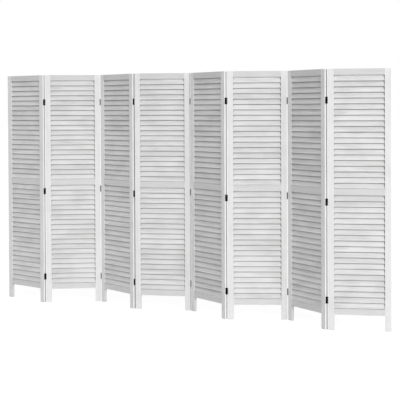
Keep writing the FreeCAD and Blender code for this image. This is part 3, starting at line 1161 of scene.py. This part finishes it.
def prism(outline: Outline, low: float, high: float) -> BMesh:
    """A prism on an outline in the x-y plane.

    Args:
        outline: The outline's points, counterclockwise.
        low: The height of its lower end.
        high: The height of its upper end.

    Returns:
        The prism.
    """
    shape = bmesh.new()
    rings = [[shape.verts.new((x, y, z)) for x, y in outline] for z in (low, high)]
    loft(shape, rings)
    for end in (rings[0][::-1], rings[1]):
        shape.faces.new(end)
    return shape


def turned(outline: Outline, count: int) -> BMesh:
    """A solid of revolution about the x axis.

    Args:
        outline: Points of (x, radius) from one end on the axis to the other.
        count: The faces round it.

    Returns:
        The solid.
    """
    shape = bmesh.new()
    angles = [2 * math.pi * i / count for i in range(count)]
    loft(shape, [[shape.verts.new((x, y, z)) for y, z in (arc(radius, angles) if radius else [(0, 0)])]
                 for x, radius in outline])
    bmesh.ops.recalc_face_normals(shape, faces=shape.faces)
    return shape


def absorb(shape: BMesh, data: Mesh) -> None:
    """Adds a mesh to a shape, and uses the mesh up."""
    shape.from_mesh(data)
    bpy.data.meshes.remove(data)


class HingeHardware:
    """The master meshes of one hinge, each in the frame of its pin's axis, and copies of them."""

    def __init__(self, sizes: HingeSizes) -> None:
        """Makes the masters.

        Args:
            sizes: The hinge's sizes.
        """
        self.sizes = sizes
        plate = self.make_plate()
        self.outer_leaf = self.make_leaf(plate, first=0)
        self.inner_leaf = self.make_leaf(plate, first=1)
        self.screw = self.make_screw()
        self.pin = self.make_pin()

    def ease(self, name: str, shape: BMesh, cutter: BMesh | None = None) -> Mesh:
        """Cuts a shape if there is a cutter, eases its sharp edges and keeps it as a mesh.

        Args:
            name: The mesh's name.
            shape: The shape, which this uses up.
            cutter: What is taken away from it, also used up.

        Returns:
            The mesh.
        """
        thing = into_scene(name, into_mesh(f"{name}_shape", shape))
        things = [thing]
        if cutter is not None:
            things.append(into_scene(name, into_mesh(f"{name}_cutter", cutter)))
            cut = thing.modifiers.new("cut", "BOOLEAN")
            cut.operation = "DIFFERENCE"
            cut.solver = "EXACT"
            cut.object = things[1]
        bevel = thing.modifiers.new("eased", "BEVEL")
        bevel.width = self.sizes.eased
        bevel.segments = 2
        bevel.limit_method = "ANGLE"
        bevel.angle_limit = math.radians(self.sizes.eased_from)
        bpy.context.view_layer.update()
        result = bpy.data.meshes.new_from_object(thing.evaluated_get(bpy.context.evaluated_depsgraph_get()))
        result.name = name
        for used in things:
            bpy.data.objects.remove(used)
        return result

    def make_plate(self) -> Mesh:
        """The leaf's flat plate with its two countersunk holes.

        Returns:
            The plate's mesh.
        """
        sizes = self.sizes
        far = -(sizes.barrel_offset + sizes.leaf_width)
        outline = [(-sizes.edge_gap, far), (-sizes.face, far), (-sizes.face, -sizes.barrel_radius),
                   (-sizes.edge_gap, -sizes.barrel_radius)]
        plate = prism(outline, -sizes.length / 2, sizes.length / 2)
        inside, outside = -sizes.edge_gap - sizes.leaf_thickness, -sizes.face + sizes.leaf_thickness
        shank = sizes.screw_radius + sizes.screw_clearance
        head = sizes.head_radius + sizes.screw_clearance
        cone = [(inside, 0), (inside, shank), (-sizes.face - sizes.head_depth, shank), (-sizes.face, head),
                (outside, head), (outside, 0)]
        cutter = bmesh.new()
        for end in (-1, 1):
            hole = turned(cone, sizes.round_steps)
            hole.transform(Matrix.Translation((0, -sizes.screw_line, end * sizes.screw_spacing / 2)))
            absorb(cutter, into_mesh("hole", hole))
        return self.ease("leaf_plate", plate, cutter)

    def make_leaf(self, plate: Mesh, first: int) -> Mesh:
        """A leaf: the plate, with every second knuckle rolled from a tongue of it round the pin.

        Args:
            plate: The plate's mesh.
            first: The number of the leaf's first knuckle, from 0 at the hinge's lower end.

        Returns:
            The leaf's mesh.
        """
        sizes = self.sizes
        outer, inner = sizes.barrel_radius, sizes.barrel_radius - sizes.leaf_thickness
        sweep = math.radians(sizes.roll_end)
        angles = [math.pi - step / sizes.roll_steps * sweep for step in range(1, sizes.roll_steps + 1)]
        lead = math.sqrt(sizes.barrel_radius**2 - sizes.face**2)
        tongue_in = [(-sizes.face, -lead * sizes.tongue_lead_share), (-sizes.face, -outer)]
        tongue_out = [(-sizes.edge_gap, -outer), (-sizes.edge_gap, -sizes.tongue_bend_share * outer),
                      (-outer, sizes.tongue_rise_share * outer)]
        outline = (tongue_out + arc(outer, angles) + arc(inner, angles[::-1]) + tongue_in)[::-1]
        shape = bmesh.new()
        shape.from_mesh(plate)
        for knuckle in range(first, sizes.knuckles, 2):
            low = -sizes.length / 2 + knuckle * sizes.knuckle_pitch
            absorb(shape, self.ease("knuckle", prism(outline, low, low + sizes.knuckle_length)))
        bmesh.ops.recalc_face_normals(shape, faces=shape.faces)
        return into_mesh("leaf", shape)

    def make_screw(self) -> Mesh:
        """A countersunk wood screw with a cross recess, lying along x as it stands in a leaf.

        Returns:
            The screw's mesh.
        """
        sizes = self.sizes
        top, shoulder = -sizes.face, -(sizes.face + sizes.head_depth)
        tip = -(sizes.face + sizes.screw_length)
        crown = top - sizes.crown_depth_share * sizes.head_depth
        outline = [(tip, 0), (tip + sizes.screw_tip, sizes.screw_radius), (shoulder, sizes.screw_radius),
                   (crown, sizes.head_radius * sizes.crown_radius_share),
                   (top, sizes.head_radius * sizes.crown_top_share), (top, 0)]
        arm, half = sizes.recess_reach, sizes.recess_width / 2
        quarter = [(arm, -half), (arm, half), (half, half)]
        cross = []
        for _ in range(4):
            cross += quarter
            quarter = [(-y, x) for x, y in quarter]
        cutter = prism(cross, -sizes.recess_depth, sizes.recess_depth)
        cutter.transform(Matrix.Translation((top, 0, 0)) @ Matrix.Rotation(QUARTER_TURN, 4, "Y"))
        bmesh.ops.recalc_face_normals(cutter, faces=cutter.faces)
        return self.ease("screw", turned(outline, sizes.round_steps), cutter)

    def make_pin(self) -> Mesh:
        """A hinge pin about the z axis, with chamfered ends.

        Returns:
            The pin's mesh.
        """
        sizes = self.sizes
        end, edge = sizes.length / 2, sizes.pin_radius - sizes.pin_chamfer
        shoulder = end - sizes.pin_chamfer
        pin = turned([(-end, 0), (-end, edge), (-shoulder, sizes.pin_radius), (shoulder, sizes.pin_radius),
                      (end, edge), (end, 0)], sizes.round_steps)
        pin.transform(Matrix.Rotation(QUARTER_TURN, 4, "Y"))
        return self.ease("pin", pin)

    def gather(self, name: str, copies: list[tuple[Mesh, Matrix]], material: Material,
               chance: random.Random) -> Object:
        """One object of many copies, each with its own patch of patina.

        Args:
            name: The object's name.
            copies: Each copy's mesh, and its place in the model's frame.
            material: The finish.
            chance: The source of the patches' places.

        Returns:
            The object.
        """
        whole = bmesh.new()
        grain = whole.verts.layers.float_vector.new("grain")
        for mesh, place in copies:
            known = len(whole.verts)
            whole.from_mesh(mesh)
            whole.verts.ensure_lookup_table()
            patch = Vector([chance.uniform(0.0, self.sizes.patina_reach) for _ in range(3)])
            for vert in whole.verts[known:]:
                vert[grain] = vert.co + patch
                vert.co = place @ vert.co
        data = into_mesh(name, whole)
        data.materials.append(material)
        data.shade_smooth()
        data.set_sharp_from_angle(angle=math.radians(self.sizes.smooth_to))
        return into_scene(name, data)


def stand_for(piece: Object, node: str, body: str, slot: str) -> None:
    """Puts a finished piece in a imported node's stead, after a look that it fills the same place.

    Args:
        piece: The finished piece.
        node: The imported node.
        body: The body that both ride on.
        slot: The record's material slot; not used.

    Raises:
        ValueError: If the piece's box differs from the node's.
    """
    bpy.context.view_layer.update()
    points = [piece.matrix_world @ vert.co for vert in piece.data.vertices]
    for axis, (low, high) in enumerate(zip(*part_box(node))):
        values = [point[axis] for point in points]
        if abs(min(values) - low) > FIT_TOLERANCE or abs(max(values) - high) > FIT_TOLERANCE:
            raise ValueError(f"{piece.name} doesn't fill the place of {node}: {min(values)}, {max(values)}")
    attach(piece, body)
    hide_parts(node)
    LOG.info("%s stands for %s: %d points", piece.name, node, len(points))


@dataclass
class Finishes:
    """All the finishes of the screen."""

    stile: Material
    rail: Material
    slat: Material
    leaf: Material
    screw: Material
    pin: Material

    @classmethod
    def make(cls, sizes: ScreenSizes) -> Finishes:
        """Makes the node groups and the materials that use them.

        Args:
            sizes: The panels' sizes, which say where a slat's seams are.

        Returns:
            The finishes.
        """
        wood, metal = WoodEffects(), DarkPatina().make()
        # The stiles take a painted highlight and painted shade where they meet the next panel
        stile = WashedWood("stile_wash", wash=(0.75, 0.75, 0.75), grain_show=0.16, board_change=0.05,
                           dust=MeetingEdge())
        rail = WashedWood("rail_wash", wash=(0.65, 0.65, 0.65), grain_show=0.2, board_change=0.06)
        # The slats take painted shade at their seams and under each lap
        slat = WashedWood("slat_wash", wash=(0.755, 0.755, 0.755), grain_show=0.3, board_change=0.16,
                          rubbed=0.9, patches=0.2, dust=sizes.slat_seams)
        leaf = DarkMetal("leaf_patina", patina=(0.010, 0.005, 0.004), metal=(0.1, 0.06, 0.04), worn=0.25,
                         roughness=0.5, metallic=0.92)
        screw = DarkMetal("screw_patina", patina=(0.016, 0.011, 0.009), metal=(0.16, 0.11, 0.07), worn=0.45,
                          roughness=0.44, metallic=0.92)
        pin = DarkMetal("pin_patina", patina=(0.03, 0.026, 0.023), metal=(0.22, 0.2, 0.18), worn=0.35,
                        roughness=0.4, metallic=0.94)
        return cls(*(finish.make(wood) for finish in (stile, rail, slat)),
                   *(finish.make(metal) for finish in (leaf, screw, pin)))


@dataclass
class LouveredPanel:
    """One panel of the screen: two stiles, three rails and two openings of fixed slats.

    Its parts' small differences have seeds that count on from its number, a screw's from its height too. The
    screw turn is how far round, in radians, a screw may stand.
    """

    place: PanelPlace
    sizes: ScreenSizes
    finishes: Finishes
    joint_count: int
    seeds_a_panel: int = 100
    screw_seeds_a_metre: float = 1e4
    screw_turn: float = 1.5

    @property
    def name(self) -> str:
        """The name of the panel, and of the body that it is."""
        return f"panel_{self.place.number}"

    def chance(self, part: int) -> random.Random:
        """A seeded source of small differences for one part of this panel."""
        return random.Random(self.seeds_a_panel * self.place.number + part)

    def joint_at(self, side: Side) -> int | None:
        """The number of the joint at one edge, if there is one."""
        joint = self.place.number if side is Side.RIGHT else self.place.number - 1
        return joint if 1 <= joint <= self.joint_count else None

    def timber(self, part: str, draw: Draw) -> Timber:
        """An empty mesh for some of the panel's boards."""
        return Timber(f"{self.name}_{part}_washed", self.chance(draw.value), self.place.number)

    def set_up(self, timber: Timber, part: str, finish: Material, slot: str) -> None:
        """Finishes one part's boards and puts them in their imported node's stead."""
        stand_for(timber.finish(self.place.matrix, finish), f"{self.name}_{part}", self.name, slot)

    def make_stile(self, side: Side) -> None:
        """An upright of the panel's frame, its grain upright too.

        Args:
            side: The panel's edge.
        """
        sizes = self.sizes
        part = f"{side.name.lower()}_stile"
        half = sizes.stile_width / 2
        x = half if side is Side.LEFT else sizes.panel_width - half
        board = Board(sizes.panel_height, sizes.stile_width, sizes.frame_thickness, sizes.arris_radius,
                      end_radius=sizes.stile_end_radius, stations=40)
        joint = self.joint_at(side)
        timber = self.timber(part, Draw[part.upper()])
        timber.add(board, axes(Z_AXIS, X_AXIS, Vector((x, sizes.middle_plane, 0))),
                   HingedEdge(side, JointKind.of(joint)) if joint else None)
        self.set_up(timber, part, self.finishes.stile, "stile_wood")

    def make_rails(self) -> None:
        """The bottom, middle and top rails, which end in tenons inside the stiles."""
        sizes = self.sizes
        timber = self.timber("rails", Draw.RAILS)
        bar = Board(sizes.opening_width, sizes.rail_height, sizes.frame_thickness, sizes.arris_radius,
                    stations=14)
        tenon = Board(sizes.tenon_length, sizes.tenon_height, sizes.tenon_thickness, sizes.arris_radius / 2,
                      stations=1)
        left, right = sizes.stile_width, sizes.panel_width - sizes.stile_width
        for step in range(sizes.rails_per_panel):
            z = sizes.foot_height + sizes.rail_height / 2 + step * (sizes.opening_height + sizes.rail_height)
            for board, x in ((bar, left), (tenon, left - sizes.tenon_length), (tenon, right)):
                timber.add(board, axes(X_AXIS, Z_AXIS, Vector((x, sizes.middle_plane, z))))
        self.set_up(timber, "rails", self.finishes.rail, "rail_wood")

    def slat_heights(self) -> Iterator[float]:
        """Where the slats sit.

        Yields:
            The middle height of every slat, from the lowest up.
        """
        sizes = self.sizes
        tilt = math.radians(sizes.slat_tilt)
        rise = sizes.slat_width * math.cos(tilt) + sizes.slat_thickness * math.sin(tilt)
        bottom = sizes.foot_height + sizes.rail_height
        for gap in (sizes.lower_slat_gap, sizes.upper_slat_gap):
            pitch = (sizes.opening_height - rise - 2 * gap) / (sizes.slats_per_opening - 1)
            for step in range(sizes.slats_per_opening):
                yield bottom + gap + rise / 2 + step * pitch
            bottom += sizes.opening_height + sizes.rail_height

    def make_slats(self) -> None:
        """All forty slats, each a little different in tilt, seat and bow, as hand-fitted slats are.

        The uppermost slat of every second panel takes no painted shade under its rail: those panels face the
        light.
        """
        sizes = self.sizes
        chance = self.chance(Draw.SLAT_SEATS.value)
        timber = self.timber("slats", Draw.SLATS)
        length = sizes.opening_width + 2 * sizes.slat_reach
        heights = list(self.slat_heights())
        for height in heights:
            # An even panel's top slat takes no painted shade under its rail, as that panel faces the light
            unshaded_top = height == heights[-1] and self.place.number % 2 == 0
            board = Board(length, sizes.slat_width, sizes.slat_thickness, sizes.slat_edge_radius, stations=9,
                          bow=chance.uniform(-sizes.slat_bow_mm, sizes.slat_bow_mm) * MM)
            tilt = math.radians(sizes.slat_tilt + chance.uniform(-sizes.slat_tilt_play, sizes.slat_tilt_play))
            play = chance.uniform(-sizes.slat_seat_play_mm, sizes.slat_seat_play_mm) * MM
            start = Vector((sizes.stile_width - sizes.slat_reach, sizes.middle_plane + play, height))
            upward = Vector((0, math.sin(tilt), math.cos(tilt)))
            timber.add(board, axes(X_AXIS, upward, start), settled=0.0 if unshaded_top else 1.0)
        self.set_up(timber, "slats", self.finishes.slat, "slat_wood")

    def hinge_places(self, side: Side) -> Iterator[Matrix]:
        """The place of each hinge on one edge, turned to suit the side that its barrel is on.

        Args:
            side: The panel's edge.

        Yields:
            The frame of a hinge's pin in the model's frame.
        """
        kind = JointKind.of(self.joint_at(side))
        axis = {(Side.RIGHT, JointKind.VALLEY): "X", (Side.LEFT, JointKind.RIDGE): "Y",
                (Side.LEFT, JointKind.VALLEY): "Z"}.get((side, kind))
        turn = Matrix.Rotation(math.pi, 4, axis) if axis else Matrix.Identity(4)
        pin = self.sizes.pin_at(kind, side)
        for height in self.sizes.hinge_heights(kind):
            yield self.place.matrix @ Matrix.Translation((pin.x, pin.y, height)) @ turn

    def make_hardware(self, hardware: HingeHardware) -> None:
        """The hinge leaves on this panel's edges, and their screws.

        Args:
            hardware: The master meshes.
        """
        leaves, screws = [], []
        half = hardware.sizes.screw_spacing / 2
        for side, master in ((Side.RIGHT, hardware.outer_leaf), (Side.LEFT, hardware.inner_leaf)):
            if self.joint_at(side) is None:
                continue
            for place in self.hinge_places(side):
                leaves.append((master, place))
                seed = round(self.screw_seeds_a_metre * place.translation.z)
                for end in (-1, 1):
                    step = Matrix.Translation((0, -hardware.sizes.screw_line, end * half))
                    driven = Matrix.Rotation(self.chance(seed + end).uniform(0, self.screw_turn), 4, "X")
                    screws.append((hardware.screw, place @ step @ driven))
        chance = self.chance(Draw.HINGES.value)
        for part, copies, finish, slot in (("leaves", leaves, self.finishes.leaf, "hinge_leaf_metal"),
                                           ("screws", screws, self.finishes.screw, "hinge_screw_metal")):
            piece = hardware.gather(f"{self.name}_bronzed_{part}", copies, finish, chance)
            stand_for(piece, f"{self.name}_hinge_{part}", self.name, slot)

    def make_pins(self, hardware: HingeHardware) -> None:
        """The pins of the joint on this panel's right.

        Args:
            hardware: The master meshes.
        """
        joint = self.joint_at(Side.RIGHT)
        pins = [(hardware.pin, place) for place in self.hinge_places(Side.RIGHT)]
        chance = self.chance(Draw.PINS.value)
        piece = hardware.gather(f"joint_{joint}_darkened_pins", pins, self.finishes.pin, chance)
        stand_for(piece, f"joint_{joint}_hinge_pins", self.name, "hinge_pin_metal")

    def make(self, hardware: HingeHardware) -> None:
        """Makes the whole panel, and the pins on its right.

        Args:
            hardware: The master meshes of the hinges.
        """
        for side in Side:
            self.make_stile(side)
        self.make_rails()
        self.make_slats()
        self.make_hardware(hardware)
        if self.joint_at(Side.RIGHT):
            self.make_pins(hardware)


@dataclass(frozen=True)
class PhotographCamera:
    """The photograph's camera, worked out from the screen's straight edges in it, in metres and degrees."""

    image_width_px: float = 400.0
    focal_length_px: float = 1115.08
    axis_row_px: float = 128.0
    sensor_width_mm: float = 36.0
    position: Vector = Vector((3.7745, -6.9303, 1.4457))
    azimuth: float = 27.711
    pitch: float = -0.999
    roll: float = -0.251

    def make(self) -> None:
        """Makes the camera and gives it to the scene."""
        data = bpy.data.cameras.new("photograph_camera")
        data.sensor_width = self.sensor_width_mm
        data.lens = self.focal_length_px / self.image_width_px * self.sensor_width_mm
        data.shift_y = (self.axis_row_px - self.image_width_px / 2) / self.image_width_px
        heading = Matrix.Rotation(math.radians(self.azimuth), 4, "Z")
        tip = Matrix.Rotation(math.radians(90 + self.pitch), 4, "X")
        roll = Matrix.Rotation(math.radians(self.roll), 4, "Z")
        place = Matrix.Translation(self.position) @ heading @ tip @ roll
        bpy.context.scene.camera = into_scene("photograph_camera", data, place)


@dataclass(frozen=True)
class FarLight:
    """A light so far off that it falls alike on every panel; its angles are in degrees."""

    name: str
    azimuth: float
    elevation: float
    spread: float
    strength: float

    def make(self) -> None:
        """Makes the lamp."""
        data = bpy.data.lights.new(self.name, "SUN")
        data.energy = self.strength
        data.angle = math.radians(self.spread)
        heading = Matrix.Rotation(math.radians(self.azimuth), 4, "Z")
        into_scene(self.name, data, heading @ Matrix.Rotation(math.radians(90 - self.elevation), 4, "X"))


@dataclass(frozen=True)
class DiskLamp:
    """A round soft lamp in the studio, aimed at the screen."""

    name: str
    place: Vector
    aim: Vector
    width: float
    power: float

    def make(self) -> None:
        """Makes the lamp."""
        data = bpy.data.lights.new(self.name, "AREA")
        data.shape = "DISK"
        data.size = self.width
        data.energy = self.power
        turn = (self.aim - self.place).to_track_quat("-Z", "Y").to_matrix().to_4x4()
        into_scene(self.name, data, Matrix.Translation(self.place) @ turn)


@dataclass(frozen=True)
class Studio:
    """A plain pale floor under soft light.

    Broad lights stand in front and above, a low key light on the right, a lamp near the right end and a low
    light behind, in an even surround.
    """

    front: FarLight = FarLight("front", 20.0, 35.0, 40.0, 0.92)
    top: FarLight = FarLight("top", 0.0, 80.0, 40.0, 0.42)
    key: FarLight = FarLight("key", 55.0, 15.0, 10.0, 0.84)
    side: DiskLamp = DiskLamp("side", Vector((6.5, -2.6, 3.4)), Vector((0.0, 0.0, 0.9)), 1.0, 75.0)
    back: FarLight = FarLight("back", 205.0, 12.0, 8.0, 0.8)
    surround: float = 0.25
    backdrop: float = 1.0
    floor_reach: float = 60.0
    floor_drop: float = 0.2 * MM
    floor_bounce: float = 0.19
    floor_shade: float = 0.25
    floor_glow: float = 0.87

    def make(self) -> None:
        """Makes the lights, the surround and the floor."""
        for light in (self.front, self.top, self.key, self.side, self.back):
            light.make()
        self.make_surround()
        self.make_floor()
        bpy.context.scene.view_settings.view_transform = "Standard"

    @staticmethod
    def lit_face(sheet: NodeSheet, colour: Triple, glow: float) -> NodeSocket:
        """A matt face with a white glow of its own.

        Args:
            sheet: The sheet of the face's nodes.
            colour: The colour of the matt face.
            glow: How strong the glow is.

        Returns:
            The face's shader.
        """
        matt = sheet.add("BsdfDiffuse", {"Color": colour})[0]
        own = sheet.add("Emission", {"Color": WHITE, "Strength": glow})[0]
        return sheet.add("AddShader", {0: matt, 1: own})[0]

    @staticmethod
    def give_two_faces(sheet: NodeSheet, kind: str, lighting: NodeSocket, shown: NodeSocket) -> None:
        """Ends a sheet in a face that lights the scene, and one that the camera, gloss and glass show.

        Args:
            sheet: The sheet.
            kind: The type of its output node.
            lighting: The face for the light that it gives back.
            shown: The face that is seen.
        """
        path = sheet.add("LightPath", {})
        seen = sheet.maths("MAXIMUM", path["Is Camera Ray"], path["Is Glossy Ray"])
        seen = sheet.maths("MAXIMUM", seen, path["Is Transmission Ray"])
        mix = sheet.add("MixShader", {0: seen, 1: lighting, 2: shown})[0]
        sheet.add(kind, {"Surface": mix})

    def make_surround(self) -> None:
        """The even light from all round, behind a white backdrop."""
        world = bpy.data.worlds.new("surround")
        world.use_nodes = True
        world.node_tree.nodes.clear()
        sheet = NodeSheet(world.node_tree)
        faces = [sheet.add("Background", {"Color": WHITE, "Strength": strength})[0]
                 for strength in (self.surround, self.backdrop)]
        self.give_two_faces(sheet, "OutputWorld", *faces)
        bpy.context.scene.world = world

    def make_floor(self) -> None:
        """The floor: white to the camera, yet shaded where the screen stands in its light."""
        shape = bmesh.new()
        bmesh.ops.create_grid(shape, x_segments=1, y_segments=1, size=self.floor_reach)
        floor = into_scene("floor", into_mesh("floor", shape), Matrix.Translation((0, 0, -self.floor_drop)))
        material, sheet = new_material("pale_floor")
        material.node_tree.nodes.clear()
        self.give_two_faces(sheet, "OutputMaterial", self.lit_face(sheet, FLOOR_COLOUR, self.floor_bounce),
                            self.lit_face(sheet, (self.floor_shade,) * 3, self.floor_glow))
        floor.data.materials.append(material)


def main() -> None:
    """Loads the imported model, builds every piece on it, and lights it."""
    logging.basicConfig(level=logging.INFO, format="%(name)s: %(message)s")
    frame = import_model()
    PhotographCamera().make()
    sizes = ScreenSizes()
    finishes = Finishes.make(sizes)
    hardware = HingeHardware(sizes.hinge)
    joints = frame["joints"]
    for place in panel_places(joints, sizes):
        LouveredPanel(place, sizes, finishes, len(joints)).make(hardware)
    Studio().make()


if __name__ == "__main__":
    main()
